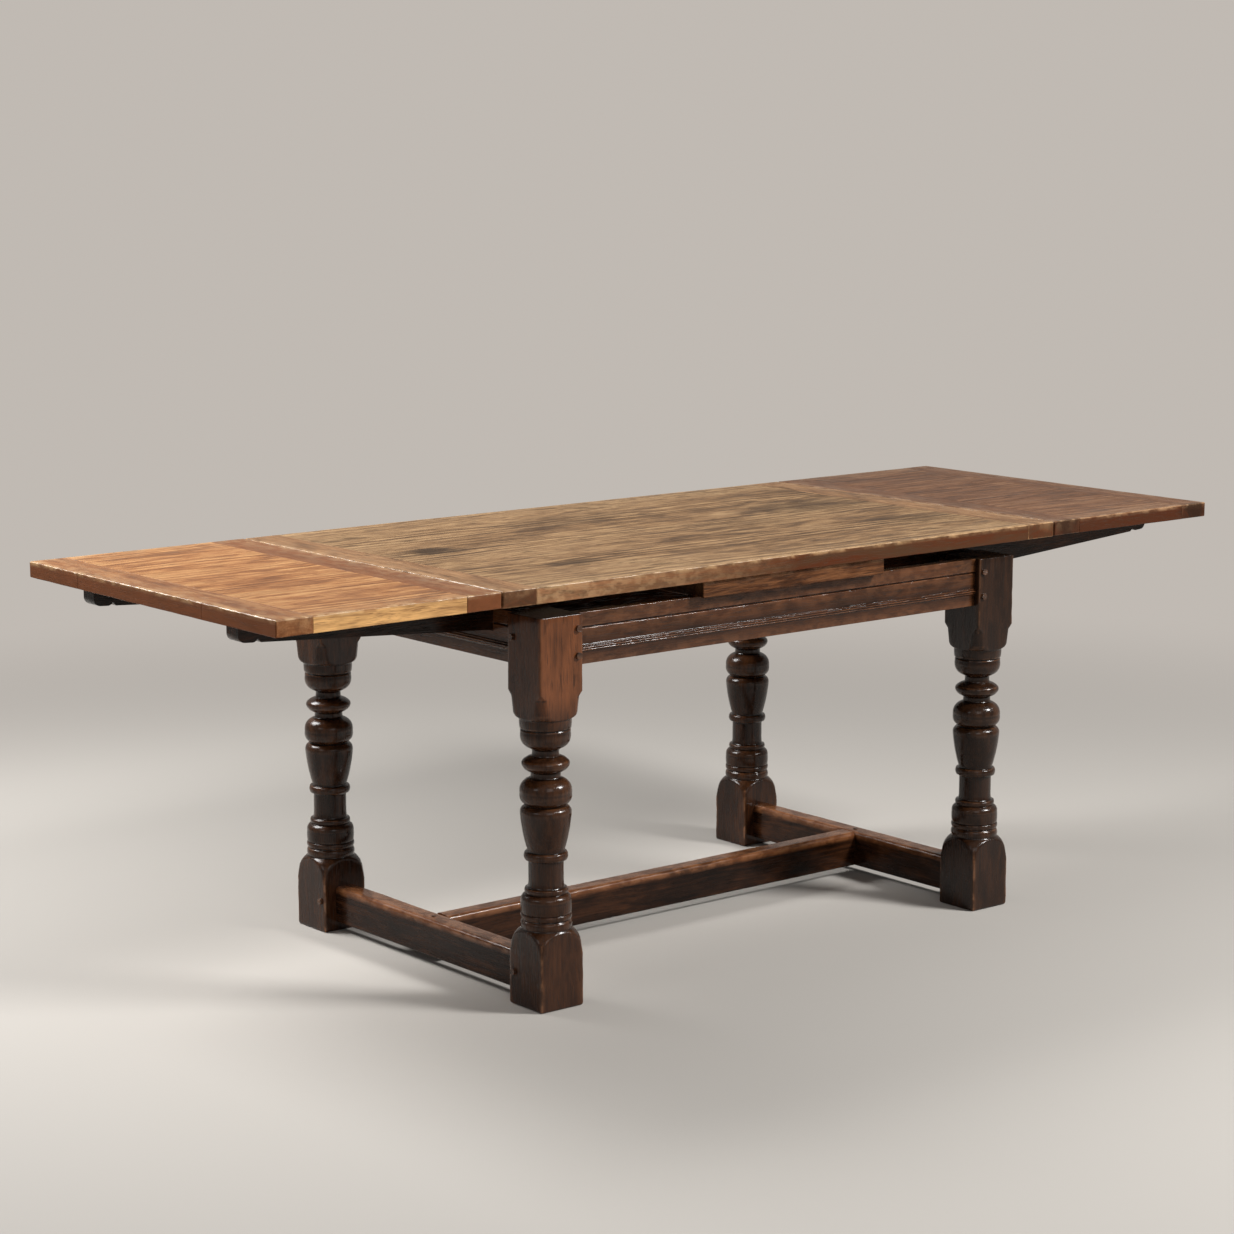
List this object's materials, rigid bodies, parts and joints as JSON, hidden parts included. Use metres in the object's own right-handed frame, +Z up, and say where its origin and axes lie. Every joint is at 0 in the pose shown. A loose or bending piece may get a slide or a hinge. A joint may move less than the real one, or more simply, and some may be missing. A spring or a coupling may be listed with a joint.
{
  "type": "draw-leaf table",
  "caption": "Oak draw-leaf dining table: turned legs joined by moulded rails and low stretchers, a loose clamped top, and leaves drawn out on sloping bearers",
  "frame": {"origin": "on the floor under the middle of the table, with both leaves drawn", "axes": "+X along the table towards the right leaf, -Y the long side seen in the picture, +Z up"},
  "size_m": [2.256, 0.806, 0.76],
  "materials": {
    "frame_oak": "dark waxed oak",
    "board_oak": "mid brown waxed oak",
    "peg_oak": "dark oak",
    "top_oak": "honey brown worn oak",
    "left_leaf_oak": "golden brown worn oak",
    "right_leaf_oak": "reddish brown worn oak"
  },
  "bodies": {
    "frame": {"leg_front_left": "frame_oak", "leg_front_right": "frame_oak", "leg_back_left": "frame_oak", "leg_back_right": "frame_oak", "front_rail": "frame_oak", "back_rail": "frame_oak", "left_end_rail": "frame_oak", "right_end_rail": "frame_oak", "left_stretcher": "frame_oak", "right_stretcher": "frame_oak", "centre_stretcher": "frame_oak", "rail_pegs": "peg_oak", "stretcher_pegs": "peg_oak", "centre_board": "board_oak", "centre_board_pegs": "peg_oak", "top_locating_pegs": "peg_oak"},
    "main_top": {"main_top_board_1": "top_oak", "main_top_board_2": "top_oak", "main_top_board_3": "top_oak", "main_top_board_4": "top_oak", "main_top_left_clamp": "top_oak", "main_top_right_clamp": "top_oak", "main_top_clamp_pegs": "peg_oak"},
    "left_leaf": {"left_leaf_board_1": "left_leaf_oak", "left_leaf_board_2": "left_leaf_oak", "left_leaf_board_3": "left_leaf_oak", "left_leaf_outer_clamp": "left_leaf_oak", "left_leaf_inner_clamp": "left_leaf_oak", "left_leaf_clamp_pegs": "peg_oak", "left_leaf_front_bearer": "frame_oak", "left_leaf_back_bearer": "frame_oak", "left_leaf_bearer_dowels": "peg_oak", "left_leaf_stop_pegs": "peg_oak"},
    "right_leaf": {"right_leaf_board_1": "right_leaf_oak", "right_leaf_board_2": "right_leaf_oak", "right_leaf_board_3": "right_leaf_oak", "right_leaf_outer_clamp": "right_leaf_oak", "right_leaf_inner_clamp": "right_leaf_oak", "right_leaf_clamp_pegs": "peg_oak", "right_leaf_front_bearer": "frame_oak", "right_leaf_back_bearer": "frame_oak", "right_leaf_bearer_dowels": "peg_oak", "right_leaf_stop_pegs": "peg_oak"}
  },
  "joints": [
    {"name": "top_lift", "type": "slide", "parent": "frame", "child": "main_top", "axis": [0, 0, 1], "range_m": [0, 0.1]},
    {"name": "left_leaf_draw", "type": "slide", "parent": "frame", "child": "left_leaf", "axis": [-0.9977, 0, 0.0672], "range_m": [0, 0.045]},
    {"name": "right_leaf_draw", "type": "slide", "parent": "frame", "child": "right_leaf", "axis": [0.9977, 0, 0.0672], "range_m": [0, 0.045]}
  ]
}
